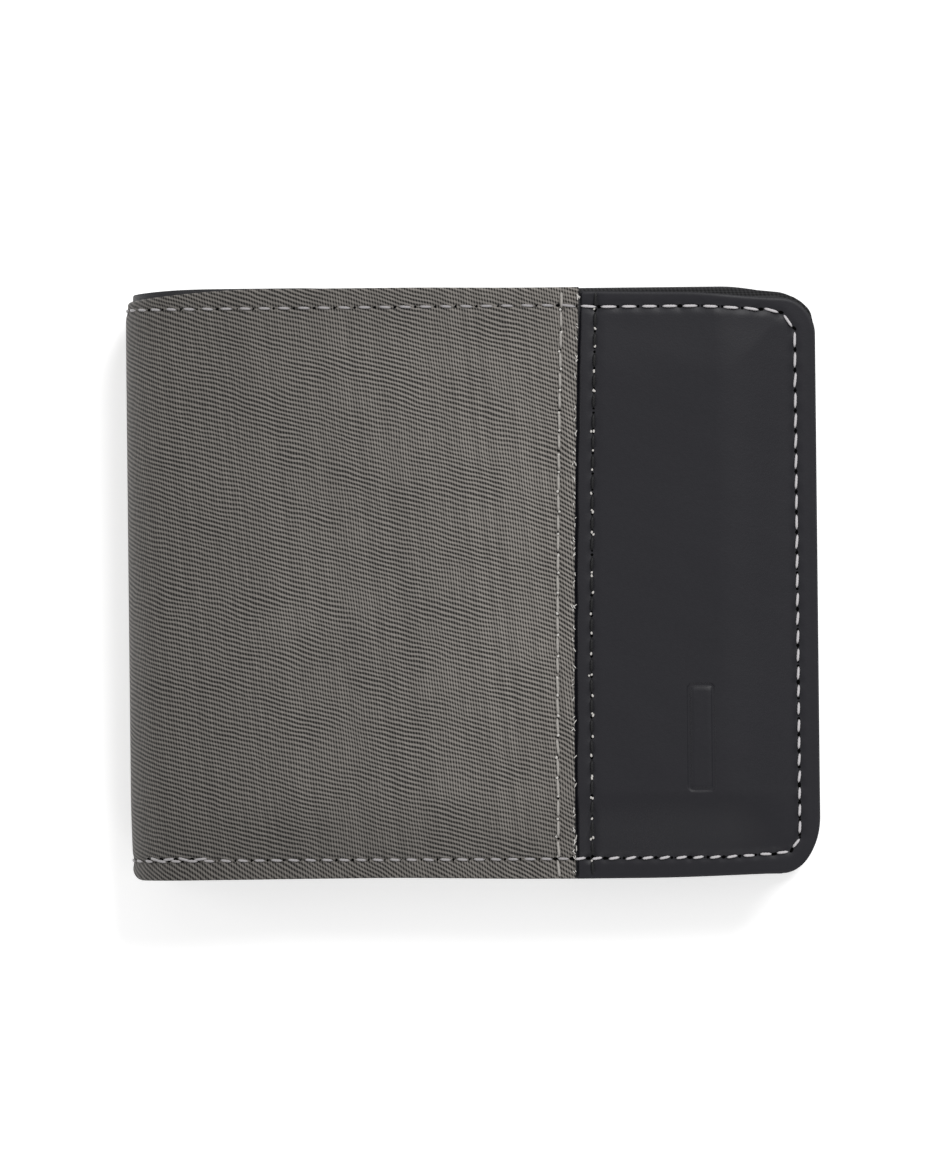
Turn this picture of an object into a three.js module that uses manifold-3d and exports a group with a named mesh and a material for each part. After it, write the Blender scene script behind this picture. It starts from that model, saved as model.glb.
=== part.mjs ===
// A closed bifold wallet lying on its rear cover, in millimetres, +Z up.
//
// X runs from the folded spine (-X) to the free edge (+X), +Y points to the mouth of the bill
// compartment, and the origin is the centre of the wallet's footprint on the table.
//
// Every layer is a flat cut piece bent round the fold, so it is described in shell coordinates:
//   s      distance along the outer skin from the middle of the spine, + to the front, - to the rear
//   y      height on the wallet
//   depth  distance inwards from the outer skin
import * as THREE from "three";
import { mergeVertices } from "three/addons/utils/BufferGeometryUtils.js";
import Module from "manifold-3d";

const wasm = await Module();
wasm.setup();

// ---- Driving dimensions -------------------------------------------------------------------
const WIDTH = 111; // closed wallet, spine to the rear cover's free edge
const HEIGHT = 95;
const THICKNESS = 20; // closed, at the spine
const FOLD_RADIUS = 8.5; // the skin's bend between a cover and the back of the spine
const FRONT_STEP_BACK = 0.6; // the front cover ends this much short of the rear one
const FOLD_GAP = 0.3; // between pieces on the two sides of a fold line

// Depths of the layers, each as [outer face, inner face].
const FABRIC = [0, 0.6];
const LEATHER = [0.3, 0.8];
const LEATHER_TAB = [0.7, 0.9]; // where the leather runs under the fabric
const BOARD = [1.0, 1.15];
const LINING = [1.25, 1.45];
const LOOSE = 0.1; // left between pieces that lie on each other
const BILL_WALL_DEPTH = 5.6; // outer face of the bill compartment's inner wall, on a cover
const BILL_WALL_FOLD_DEPTH = 2.5; // the same round the fold
const BILL_WALL_THICKNESS = 0.35;
const TAPE = [0.38, 0.7]; // on the wall's inner face, measured from its outer face
const CARD_BACKING = [6.0, 6.35];
const CARD_SPACE = 0.8; // room for one card
const POCKET_THICKNESS = 0.35;

// The places of seams and edges, measured in x on the covers.
const FABRIC_EDGE_X = 16.3;
const SEAM_THREAD_X = 13.4;
const LEATHER_THREAD_X = 18.9;
const LEATHER_TAB_X = 8.3;
const CARD_STACK_X = -40.5; // the spine side of the card pockets
const POCKET_THREAD_INSET = 1.6;
const EDGE_THREAD_INSET = 3.2;
const EDGE_THREAD_Y = 44.2;
const THREAD_CORNER = 4;
const CORNER_TOP = 5.5;
const CORNER_BOTTOM = 6.5;
const LEATHER_Y = [-47.3, 46.8];
const SPINE_TOP_DROP = 0.6; // the fabric's mouth edge dips this much at the spine

// The heights that the inner layers reach, as [low, high], and how far they stay from the free edge.
const BOARD_Y = [-42.5, 42.5];
const BOARD_INSET = 5;
const LINING_Y = [-46.7, 46.5];
const SPINE_LINING_Y = [-46.7, 46.3];
const BOTTOM_HEM_Y = [-46.6, -42.4];
const BOTTOM_HEM_INSET = 6;
const SIDE_HEM_Y = [-42.2, 42.5];
const SIDE_HEM_INSET = [5.7, 1.2];
const BILL_WALL_Y = [-46.7, 47.3];
const TAPE_Y = [43.9, 47.4];
const TAPE_INSET = CORNER_TOP + 1;
const CARD_BACKING_Y = [-46.4, 43];
const PANEL_INSET = 0.8; // the lining, the bill wall and the card pockets
const SQUARE = 0.5; // the radius of a corner that isn't rounded off

// Card pockets, as [mouth, bottom] in y, from the one nearest the backing.
const POCKETS = [
  [31, -24],
  [19.5, -35.5],
  [8, -46.4],
];
const HEM_WIDTH = 3;
const HEM_INSET = [0.2, 1.2]; // from a pocket's spine side, and from the free edge
const HEM_BELOW_MOUTH = 0.6;
const POCKET_THREAD_Y = [-45, 42];

// The covers are drawn in where they are sewn to the bill wall, at the free edge and the bottom.
const PINCH = 2.6;
const PINCH_SIDE = 16; // how far in from the free edge
const PINCH_BOTTOM = 14; // how far up from the bottom
const PINCH_AT_SPINE = 0.2; // share of it that is left at the fold
const PINCH_GROWS_OVER = 25;

const THREAD_WIDTH = 0.5;
const THREAD_DEPTH = [0.08, 0.4]; // below the surface that it is sewn into
const GROOVE_MARGIN = 0.15;

// ---- Derived dimensions -------------------------------------------------------------------
const SPINE_X = -WIDTH / 2;
const ARC_X = SPINE_X + FOLD_RADIUS; // where a cover's flat begins
const BACK_FLAT = THICKNESS - 2 * FOLD_RADIUS;
const ARC_END = BACK_FLAT / 2 + (FOLD_RADIUS * Math.PI) / 2;
const FOLD_LINE = BACK_FLAT / 2 + (FOLD_RADIUS * Math.PI) / 4; // the hinge, half way round the bend
const HALF_HEIGHT = HEIGHT / 2;
const CARD_STACK_FROM = CARD_STACK_X - ARC_X;
const WALL_SLOPE = 9; // the bill wall climbs from the fold to its place over this length
const FRONT = { name: "front", side: 1, end: WIDTH / 2 - ARC_X - FRONT_STEP_BACK };
const REAR = { name: "rear", side: -1, end: WIDTH / 2 - ARC_X };

const COLOURS = {
  twill: { color: 0x6a6762, roughness: 0.75, metalness: 0 },
  leather: { color: 0x2f2f33, roughness: 0.5, metalness: 0 },
  board: { color: 0x8b7f6a, roughness: 0.9, metalness: 0 },
  lining: { color: 0x1c1c1f, roughness: 0.8, metalness: 0 },
  greyThread: { color: 0xb9b7b4, roughness: 0.6, metalness: 0 },
  blackThread: { color: 0x151517, roughness: 0.6, metalness: 0 },
};

// ---- Shell coordinates --------------------------------------------------------------------
const smooth = (t) => {
  const k = Math.min(1, Math.max(0, t));
  return k * k * (3 - 2 * k);
};

/** The point at distance s along the skin, at height y, depth below the outer face. */
function shellPoint(s, y, depth) {
  const side = s < 0 ? -1 : 1;
  const along = Math.abs(s);
  if (along <= BACK_FLAT / 2) return new THREE.Vector3(SPINE_X + depth, y, THICKNESS / 2 + s);
  if (along >= ARC_END) {
    return new THREE.Vector3(ARC_X + along - ARC_END, y, THICKNESS / 2 + side * (THICKNESS / 2 - depth));
  }
  const angle = (along - BACK_FLAT / 2) / FOLD_RADIUS;
  const radius = FOLD_RADIUS - depth;
  const height = BACK_FLAT / 2 + radius * Math.sin(angle);
  return new THREE.Vector3(ARC_X - radius * Math.cos(angle), y, THICKNESS / 2 + side * height);
}

/** How far a cover is drawn in at distance s along the skin and height y. */
function pinch(s, y) {
  const half = s < 0 ? REAR : FRONT;
  const across = Math.abs(s) - ARC_END;
  const atSide = smooth((across - (half.end - PINCH_SIDE)) / PINCH_SIDE);
  const atBottom = smooth((-y - (HALF_HEIGHT - PINCH_BOTTOM)) / PINCH_BOTTOM);
  const share = PINCH_AT_SPINE + (1 - PINCH_AT_SPINE) * smooth(across / PINCH_GROWS_OVER);
  return PINCH * (1 - (1 - atSide) * (1 - atBottom * share));
}

const drawnIn = (depth) => (s, y) => depth + pinch(s, y);
const flat = (depth) => () => depth;

/** Depth of the bill wall's outer face, which runs close to the skin round the fold. */
function wallDepth(s) {
  const across = Math.abs(s) - ARC_END;
  const climb = smooth(across / WALL_SLOPE);
  return BILL_WALL_FOLD_DEPTH + (BILL_WALL_DEPTH - BILL_WALL_FOLD_DEPTH) * climb;
}
const fromWall = (offset) => (s) => wallDepth(s) + offset;

/** Depth of a leather panel's face, which dips under the fabric's edge. */
function leatherDepth(face) {
  return (s, y) => {
    const past = Math.abs(s) - ARC_END - (FABRIC_EDGE_X - ARC_X);
    const up = Math.min(1, Math.max(0, (past - 0.05) / 0.35));
    return LEATHER_TAB[face] + (LEATHER[face] - LEATHER_TAB[face]) * up + pinch(s, y);
  };
}

// ---- Solids -------------------------------------------------------------------------------
/** A box of columns x rows cells whose corners are moved to place(column, row, isOuter). */
function bentBox(columns, rows, place) {
  const box = new THREE.BoxGeometry(columns, rows, 1, columns, rows, 1);
  const corner = box.getAttribute("position");
  for (let n = 0; n < corner.count; n++) {
    const column = Math.round(corner.getX(n) + columns / 2);
    const row = Math.round(corner.getY(n) + rows / 2);
    const point = place(column, row, corner.getZ(n) > 0);
    corner.setXYZ(n, point.x, point.y, point.z);
  }
  box.computeVertexNormals();
  return box;
}

const range = (from, to, steps) =>
  Array.from({ length: steps + 1 }, (_, i) => from + ((to - from) * i) / steps);

const ordered = (values) => {
  const sorted = [...values].sort((a, b) => a - b);
  return sorted.filter((v, i) => i === 0 || v - sorted[i - 1] > 0.02);
};

/** Distances along the skin at which a piece from one s to another needs a column. */
function columnsOf(from, to, { bends = true, end = null, radius = 0, extra = [] } = {}) {
  const marks = [from, to, ...extra];
  const bendMarks = [
    ...range(-BACK_FLAT / 2, BACK_FLAT / 2, 1),
    ...range(BACK_FLAT / 2, ARC_END, 12),
  ];
  const growMarks = range(0, PINCH_GROWS_OVER, 6).map((across) => ARC_END + across);
  const curved = bends ? [...bendMarks, ...growMarks] : [];
  const isInside = (s) => s > from && s < to;
  marks.push(...curved.filter(isInside), ...curved.map((mark) => -mark).filter(isInside));
  if (end !== null) {
    const sideMarks = range(end - PINCH_SIDE, end - radius, 5);
    const cornerMarks = range(0, Math.PI / 2, 6).map((a) => end - radius + radius * Math.sin(a));
    const endMarks = [...sideMarks, ...cornerMarks].map((across) => ARC_END + across);
    marks.push(...endMarks.filter(isInside), ...endMarks.map((mark) => -mark).filter(isInside));
  }
  return ordered(marks);
}

const DRAWN_IN_STEPS = 8; // rows over the part that is drawn in at the bottom
const DRAWN_IN_TOP = -HALF_HEIGHT + PINCH_BOTTOM;

/**
 * A layer of the wallet: columns are s values, limits(s) gives its lowest and highest y there,
 * and outer and inner give the depths of its two faces.
 */
function layer({ columns, limits, isDrawnIn = false, steps = 1, outer, inner }) {
  const rows = isDrawnIn ? DRAWN_IN_STEPS + 1 : steps;
  return bentBox(columns.length - 1, rows, (column, row, isOuter) => {
    const s = columns[column];
    const [low, high] = limits(s);
    const lower = low + ((DRAWN_IN_TOP - low) * row) / DRAWN_IN_STEPS;
    const even = low + ((high - low) * row) / rows;
    const y = isDrawnIn ? (row === rows ? high : lower) : even;
    return shellPoint(s, y, (isOuter ? outer : inner)(s, y));
  });
}

/** A strip of even width along a path of [s, y] points, mitred where it turns. */
function strip({ path, width, outer, inner }) {
  const points = path.map(([s, y]) => new THREE.Vector2(s, y));
  const directions = points.slice(1).map((p, i) => p.clone().sub(points[i]).normalize());
  return bentBox(points.length - 1, 1, (column, row, isOuter) => {
    const before = directions[Math.max(0, column - 1)];
    const after = directions[Math.min(directions.length - 1, column)];
    const along = before.clone().add(after).normalize();
    const half = width / 2 / along.dot(after);
    const across = new THREE.Vector2(-along.y, along.x).multiplyScalar(row === 1 ? half : -half);
    const p = points[column].clone().add(across);
    return shellPoint(p.x, p.y, (isOuter ? outer : inner)(p.x, p.y));
  });
}

function toSolid(geometry) {
  const bare = geometry.clone().deleteAttribute("normal").deleteAttribute("uv");
  const merged = mergeVertices(bare, 1e-4);
  return new wasm.Manifold(
    new wasm.Mesh({
      numProp: 3,
      vertProperties: new Float32Array(merged.getAttribute("position").array),
      triVerts: new Uint32Array(merged.index.array),
    }),
  );
}

function toGeometry(solid) {
  const mesh = solid.getMesh();
  const geometry = new THREE.BufferGeometry();
  geometry.setAttribute("position", new THREE.BufferAttribute(mesh.vertProperties, 3));
  geometry.setIndex(new THREE.BufferAttribute(mesh.triVerts, 1));
  geometry.computeVertexNormals();
  return geometry;
}

const cut = (geometry, cutters) =>
  toGeometry(cutters.reduce((left, cutter) => left.subtract(toSolid(cutter)), toSolid(geometry)));

// ---- Threads ------------------------------------------------------------------------------
/** Depth of the outer skin itself: the leather lies lower than the fabric beside it. */
function skinDepth(s, y) {
  const past = Math.abs(s) - ARC_END - (FABRIC_EDGE_X - ARC_X);
  return LEATHER[0] * Math.min(1, Math.max(0, past / 0.8)) + pinch(s, y);
}

const threadStrip = (path, grow = 0) =>
  strip({
    path,
    width: THREAD_WIDTH + 2 * grow,
    outer: (s, y) => skinDepth(s, y) + (grow ? -1 : THREAD_DEPTH[0]),
    inner: (s, y) => skinDepth(s, y) + THREAD_DEPTH[1] + grow / 2,
  });

const groove = (path) => threadStrip(path, GROOVE_MARGIN);

/** The groove of a seam that runs right across a cover and out at both edges. */
const seamGroove = (half, x) => groove(crossPath(half, x, HALF_HEIGHT + 1, -HALF_HEIGHT - 1));

/** From the fold along the mouth edge, down the free edge and back along the bottom. */
function edgePath({ side, end }) {
  const start = FOLD_LINE + FOLD_GAP;
  const seamEdge = ARC_END + FABRIC_EDGE_X - ARC_X;
  const right = ARC_END + end - EDGE_THREAD_INSET;
  const turn = right - THREAD_CORNER;
  const quarter = range(0, Math.PI / 2, 6);
  const marks = [
    ...range(start, ARC_END, 6),
    ARC_END + 9,
    ARC_END + PINCH_GROWS_OVER,
    seamEdge - 0.1,
    seamEdge + 0.9,
    ...range(ARC_END + end - PINCH_SIDE, turn, 5),
  ];
  const top = marks.map((s) => [s, EDGE_THREAD_Y]);
  const bottom = [...marks].reverse().map((s) => [s, -EDGE_THREAD_Y]);
  const cornerY = EDGE_THREAD_Y - THREAD_CORNER;
  const corners = (sign) =>
    quarter.map((a) => [turn + THREAD_CORNER * Math.sin(a), sign * (cornerY + THREAD_CORNER * Math.cos(a))]);
  const down = [...corners(1), [right, -HALF_HEIGHT + PINCH_BOTTOM], ...corners(-1).reverse()];
  const path = [...top.slice(0, -1), ...down, ...bottom.slice(1)];
  return path.map(([s, y]) => [side * s, y]);
}

/** Straight down a cover at one x, between two heights. */
function crossPath({ side }, x, top, bottom) {
  const s = side * (ARC_END + x - ARC_X);
  const turns = range(-HALF_HEIGHT + PINCH_BOTTOM, bottom, 6);
  return [top, ...turns].map((y) => [s, y]);
}

/** A seam down a cover, which stays clear of the edge thread that crosses it. */
const seamPath = (half, x) =>
  crossPath(half, x, EDGE_THREAD_Y - THREAD_WIDTH - LOOSE, -EDGE_THREAD_Y + THREAD_WIDTH + LOOSE);

/** Round the back of the spine at one height. */
const spinePath = (y) =>
  columnsOf(-FOLD_LINE + FOLD_GAP, FOLD_LINE - FOLD_GAP).map((s) => [s, y]);

// ---- Pieces -------------------------------------------------------------------------------
const wallet = new THREE.Group();

function addPiece(name, geometry, finish) {
  const mesh = new THREE.Mesh(geometry, new THREE.MeshStandardMaterial(COLOURS[finish]));
  mesh.name = name;
  wallet.add(mesh);
}

/** The s values of a stretch of one half, given as distances across its cover. */
const stretch = ({ side }, from, to) => {
  const ends = [side * (ARC_END + from), side * (ARC_END + to)];
  return [Math.min(...ends), Math.max(...ends)];
};

const flatLimits = (limits) => () => limits;

/** Limits in y of a piece whose free corners are rounded, with radii as [low, high]. */
function rounded({ end }, [low, high], inset = 0, radii = [CORNER_BOTTOM, CORNER_TOP]) {
  const edge = end - inset;
  return (s) => {
    const across = Math.abs(s) - ARC_END;
    const bite = (radius) => {
      const into = Math.max(0, across - (edge - radius));
      return radius - Math.sqrt(Math.max(0, radius * radius - into * into));
    };
    return [low + bite(radii[0]), high - bite(radii[1])];
  };
}

const FOLD_START = FOLD_LINE - ARC_END + FOLD_GAP / 2; // a cover's pieces start here, across it

function coverFabric(half) {
  const [from, to] = stretch(half, FOLD_START, FABRIC_EDGE_X - ARC_X);
  const limits = (s) => [-HALF_HEIGHT, fabricTop(s)];
  const body = layer({
    columns: columnsOf(from, to, { extra: [half.side * (ARC_END + PINCH_GROWS_OVER)] }),
    limits,
    isDrawnIn: true,
    outer: drawnIn(FABRIC[0]),
    inner: drawnIn(FABRIC[1]),
  });
  return cut(body, [groove(edgePath(half)), seamGroove(half, SEAM_THREAD_X)]);
}

/** The fabric's mouth edge, which dips round the spine. */
function fabricTop(s) {
  return HALF_HEIGHT - SPINE_TOP_DROP * (1 - smooth(Math.abs(s) / (ARC_END + WALL_SLOPE)));
}

function coverLeather(half) {
  const edge = FABRIC_EDGE_X - ARC_X;
  const [from, to] = stretch(half, LEATHER_TAB_X - ARC_X, half.end);
  const extra = [0.05, 0.4].map((past) => half.side * (ARC_END + edge + past));
  const body = layer({
    columns: columnsOf(from, to, { bends: false, end: half.end, radius: CORNER_BOTTOM, extra }),
    limits: rounded(half, LEATHER_Y),
    isDrawnIn: true,
    outer: leatherDepth(0),
    inner: leatherDepth(1),
  });
  return cut(body, [groove(edgePath(half)), seamGroove(half, LEATHER_THREAD_X)]);
}

function coverBoard(half) {
  const [from, to] = stretch(half, 1, half.end - BOARD_INSET);
  return layer({
    columns: columnsOf(from, to, { end: half.end, radius: CORNER_BOTTOM }),
    limits: flatLimits(BOARD_Y),
    isDrawnIn: true,
    outer: drawnIn(BOARD[0]),
    inner: drawnIn(BOARD[1]),
  });
}

function coverLining(half) {
  const [from, to] = stretch(half, FOLD_START, half.end - PANEL_INSET);
  return layer({
    columns: columnsOf(from, to, { end: half.end - PANEL_INSET, radius: CORNER_BOTTOM }),
    limits: rounded(half, LINING_Y, PANEL_INSET),
    isDrawnIn: true,
    outer: drawnIn(LINING[0]),
    inner: drawnIn(LINING[1]),
  });
}

/** The turned-in margins that close the bill compartment at the bottom and the free edge. */
function bottomHem(half) {
  const [from, to] = stretch(half, FOLD_START, half.end - BOTTOM_HEM_INSET);
  return layer({
    columns: columnsOf(from, to, { end: half.end, radius: CORNER_BOTTOM }),
    limits: flatLimits(BOTTOM_HEM_Y),
    steps: 3,
    outer: drawnIn(LINING[1] + LOOSE),
    inner: fromWall(-LOOSE),
  });
}

function sideHem(half) {
  const [from, to] = stretch(half, half.end - SIDE_HEM_INSET[0], half.end - SIDE_HEM_INSET[1]);
  return layer({
    columns: range(from, to, 3),
    limits: flatLimits(SIDE_HEM_Y),
    isDrawnIn: true,
    outer: drawnIn(LINING[1] + LOOSE),
    inner: fromWall(-LOOSE),
  });
}

function billWall(half) {
  const [from, to] = stretch(half, FOLD_START, half.end - PANEL_INSET);
  return layer({
    columns: columnsOf(from, to, { end: half.end - PANEL_INSET, radius: CORNER_TOP }),
    limits: rounded(half, BILL_WALL_Y, PANEL_INSET, [CORNER_TOP, CORNER_TOP]),
    outer: fromWall(0),
    inner: fromWall(BILL_WALL_THICKNESS),
  });
}

function billWallTape(half) {
  const [from, to] = stretch(half, FOLD_START, half.end - TAPE_INSET);
  return layer({
    columns: columnsOf(from, to),
    limits: flatLimits(TAPE_Y),
    outer: fromWall(TAPE[0]),
    inner: fromWall(TAPE[1]),
  });
}

function cardPanel(half, [bottom, mouth], [outer, inner], lowRadius) {
  const [from, to] = stretch(half, CARD_STACK_FROM, half.end - PANEL_INSET);
  return layer({
    columns: columnsOf(from, to, { bends: false, end: half.end - PANEL_INSET, radius: lowRadius }),
    limits: rounded(half, [bottom, mouth], PANEL_INSET, [lowRadius, SQUARE]),
    outer: flat(outer),
    inner: flat(inner),
  });
}

/** Outer and inner depth of card pocket n, counted from the backing. */
const pocketDepths = (n) => {
  const outer = CARD_BACKING[1] + (n + 1) * CARD_SPACE + n * POCKET_THICKNESS;
  return [outer, outer + POCKET_THICKNESS];
};

/** The sewn-down margin of a card pocket: both sides and the bottom, open at the mouth. */
function pocketHem(half, n) {
  const [mouth, bottom] = POCKETS[n];
  const inset = HEM_WIDTH / 2;
  const lowest = n === POCKETS.length - 1 ? bottom + CORNER_BOTTOM - HEM_WIDTH : bottom;
  const near = CARD_STACK_FROM + HEM_INSET[0] + inset;
  const far = half.end - HEM_INSET[1] - inset;
  const corners = [
    [near, mouth - HEM_BELOW_MOUTH],
    [near, lowest + inset],
    [far, lowest + inset],
    [far, mouth - HEM_BELOW_MOUTH],
  ];
  const outer = pocketDepths(n)[0] - CARD_SPACE;
  return strip({
    path: corners.map(([across, y]) => [half.side * (ARC_END + across), y]),
    width: HEM_WIDTH,
    outer: flat(outer + 0.02),
    inner: flat(outer + CARD_SPACE - 0.02),
  });
}

/** The row of stitches on the spine side of the pockets, stepping down their mouths. */
function pocketThread(half) {
  const s = half.side * (ARC_END + CARD_STACK_FROM + POCKET_THREAD_INSET);
  const step = 0.3;
  const steps = POCKETS.flatMap(([mouth]) => [mouth + step, mouth + 0.05]);
  const faceAt = (y) => {
    const above = POCKETS.filter(([mouth]) => y <= mouth + 0.1).length;
    return above ? pocketDepths(above - 1)[1] : CARD_BACKING[1];
  };
  return strip({
    path: [POCKET_THREAD_Y[1], ...steps, POCKET_THREAD_Y[0]].map((y) => [s, y]),
    width: THREAD_WIDTH,
    outer: (_, y) => faceAt(y) + 0.02,
    inner: (_, y) => faceAt(y) + 0.15,
  });
}

function addHalf(half) {
  const add = (name, geometry, finish) => addPiece(`${half.name}_${name}`, geometry, finish);
  add("cover_fabric", coverFabric(half), "twill");
  add("cover_leather", coverLeather(half), "leather");
  add("cover_board", coverBoard(half), "board");
  add("cover_lining", coverLining(half), "lining");
  add("bottom_hem", bottomHem(half), "lining");
  add("side_hem", sideHem(half), "leather");
  add("bill_wall", billWall(half), "lining");
  add("bill_wall_tape", billWallTape(half), "lining");
  add("card_backing", cardPanel(half, CARD_BACKING_Y, CARD_BACKING, CORNER_BOTTOM), "leather");
  POCKETS.forEach(([mouth, bottom], n) => {
    const lowRadius = n === POCKETS.length - 1 ? CORNER_BOTTOM : SQUARE;
    add(`card_pocket_${n + 1}`, cardPanel(half, [bottom, mouth], pocketDepths(n), lowRadius), "leather");
    add(`card_pocket_hem_${n + 1}`, pocketHem(half, n), "lining");
  });
  add("edge_thread", threadStrip(edgePath(half)), "greyThread");
  add("seam_thread", threadStrip(seamPath(half, SEAM_THREAD_X)), "greyThread");
  add("leather_thread", threadStrip(seamPath(half, LEATHER_THREAD_X)), "blackThread");
  add("pocket_thread", pocketThread(half), "blackThread");
}

function addSpine() {
  const reach = FOLD_LINE - FOLD_GAP / 2;
  const columns = columnsOf(-reach, reach);
  const add = (name, options) => addPiece(`spine_${name}`, layer({ columns, ...options }), "lining");
  const skin = layer({
    columns,
    limits: (s) => [-HALF_HEIGHT, fabricTop(s)],
    isDrawnIn: true,
    outer: drawnIn(FABRIC[0]),
    inner: drawnIn(FABRIC[1]),
  });
  const longPaths = [EDGE_THREAD_Y, -EDGE_THREAD_Y].map((y) =>
    columnsOf(-ARC_END, ARC_END).map((s) => [s, y]),
  );
  addPiece("spine_fabric", cut(skin, longPaths.map(groove)), "twill");
  add("lining", {
    limits: flatLimits(SPINE_LINING_Y),
    isDrawnIn: true,
    outer: drawnIn(LINING[0]),
    inner: drawnIn(LINING[1]),
  });
  add("bottom_hem", {
    limits: flatLimits(BOTTOM_HEM_Y),
    steps: 3,
    outer: drawnIn(LINING[1] + LOOSE),
    inner: fromWall(-LOOSE),
  });
  add("bill_wall", {
    limits: flatLimits(BILL_WALL_Y),
    outer: fromWall(0),
    inner: fromWall(BILL_WALL_THICKNESS),
  });
  add("bill_wall_tape", {
    limits: flatLimits(TAPE_Y),
    outer: fromWall(TAPE[0]),
    inner: fromWall(TAPE[1]),
  });
  addPiece("spine_thread_top", threadStrip(spinePath(EDGE_THREAD_Y)), "greyThread");
  addPiece("spine_thread_bottom", threadStrip(spinePath(-EDGE_THREAD_Y)), "greyThread");
}

addHalf(REAR);
addSpine();
addHalf(FRONT);

export default wallet;
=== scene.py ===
"""A closed bifold wallet: grey twill over the spine, black leather ends, card pockets inside.

Every layer of the wallet is a cut piece of cloth or leather bent round the fold, so it is built on
a flat grid in shell coordinates, in millimetres, and then put in its place:
  s      distance along the outer skin from the middle of the spine, + to the front, - to the rear
  y      height on the wallet
  depth  distance inwards from the outer skin
"""
import math

import bpy
import numpy as np
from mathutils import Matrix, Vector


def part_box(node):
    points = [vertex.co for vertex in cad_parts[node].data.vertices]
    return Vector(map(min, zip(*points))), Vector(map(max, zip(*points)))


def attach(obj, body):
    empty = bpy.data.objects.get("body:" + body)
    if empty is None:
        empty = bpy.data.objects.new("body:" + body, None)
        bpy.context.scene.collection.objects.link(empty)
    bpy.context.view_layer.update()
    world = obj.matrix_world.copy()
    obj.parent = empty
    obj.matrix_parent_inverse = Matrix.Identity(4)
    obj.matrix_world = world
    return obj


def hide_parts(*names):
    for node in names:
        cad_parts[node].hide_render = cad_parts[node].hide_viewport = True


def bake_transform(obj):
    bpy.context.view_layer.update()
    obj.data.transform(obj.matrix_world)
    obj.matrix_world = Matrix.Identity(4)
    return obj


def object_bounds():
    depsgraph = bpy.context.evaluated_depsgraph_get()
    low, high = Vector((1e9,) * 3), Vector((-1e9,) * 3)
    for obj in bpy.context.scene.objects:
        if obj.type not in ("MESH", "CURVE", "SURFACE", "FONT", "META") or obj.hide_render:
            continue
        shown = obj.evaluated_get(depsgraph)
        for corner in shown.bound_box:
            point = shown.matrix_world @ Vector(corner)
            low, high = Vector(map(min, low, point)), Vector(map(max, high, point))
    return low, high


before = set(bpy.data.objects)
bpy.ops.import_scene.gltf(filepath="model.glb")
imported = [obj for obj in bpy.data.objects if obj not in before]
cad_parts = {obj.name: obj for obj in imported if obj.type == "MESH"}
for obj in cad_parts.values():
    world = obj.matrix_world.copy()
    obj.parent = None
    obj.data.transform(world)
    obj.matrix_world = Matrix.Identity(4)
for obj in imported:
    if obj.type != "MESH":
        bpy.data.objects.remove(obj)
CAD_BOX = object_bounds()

MM = 0.001
TINY = 1e-9

# ---- Dimensions, in millimetres ----
LOW, HIGH = (np.array(corner) / MM for corner in CAD_BOX)
_, HEIGHT, THICKNESS = HIGH - LOW
HALF_HEIGHT = HEIGHT / 2
FOLD_RADIUS = 8.5
SPINE_X = LOW[0]
ARC_X = SPINE_X + FOLD_RADIUS  # where a cover's flat begins
BACK_FLAT = THICKNESS - 2 * FOLD_RADIUS
ARC_END = BACK_FLAT / 2 + FOLD_RADIUS * math.pi / 2
FRONT_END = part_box("front_cover_leather")[1][0] / MM - ARC_X
REAR_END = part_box("rear_cover_leather")[1][0] / MM - ARC_X
FABRIC_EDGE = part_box("front_cover_fabric")[1][0] / MM - ARC_X  # across a cover
FABRIC_END = ARC_END + FABRIC_EDGE  # along the skin
HALVES = {"front": (1, FRONT_END), "rear": (-1, REAR_END)}

# Depths of the layers' outer faces in a flat cover.
LEATHER_DEPTH = 0.3
LINING_DEPTH = 1.25
LINING_THICKNESS = 0.2
WALL_DEPTH = 5.6
WALL_FOLD_DEPTH = 5.2
WALL_SLOPE = 9.0
WALL_THICKNESS = 0.35
CARD_BACKING = (6.0, 6.4)
CARD_STEP = 1.15
POCKET_THICKNESS = 0.35
CARDS_BOTTOM = -46.4
POCKETS = ((31.0, -24.0), (19.5, -35.5), (8.0, CARDS_BOTTOM))  # (mouth, bottom), from the wall inwards
CARD_STACK_FROM = 6.5
POCKET_SEAM_FROM = 1.6  # from the card stack's edge

LEATHER_TOP, LEATHER_BOTTOM = 46.5, -47.5
LEATHER_TUCK = 3.0  # how far the leather runs on under the fabric's edge

PINCH, PINCH_SIDE, PINCH_BOTTOM = 2.6, 16.0, 14.0
PINCH_AT_SPINE, PINCH_GROWS_OVER = 0.1, 25.0
CORNER_TOP, CORNER_BOTTOM, CORNER_SPINE = 5.5, 8.6, 1.3
CORNER_NARROWING = 0.68  # of the leather's bottom corner, which is taller than it is wide
FOLD_LINE = BACK_FLAT / 2 + FOLD_RADIUS * math.pi / 4
HINGE_DEPTH = FOLD_LINE + ARC_X - SPINE_X - ARC_END  # of a fold's joint, from cover and back

EDGE_THREAD_Y, EDGE_THREAD_INSET = 44.25, 3.15
THREAD_CORNER_TOP, THREAD_CORNER_BOTTOM = 4.8, 3.2
SEAM_FROM_EDGE, LEATHER_SEAM_FROM_EDGE = 2.7, 2.75
STITCH_PITCH, SHORT_PITCH = 3.25, 2.7
# Pitches are pairs of (share of the path, pitch there).
EVEN_PITCH = ((0, STITCH_PITCH), (1, STITCH_PITCH))
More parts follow.
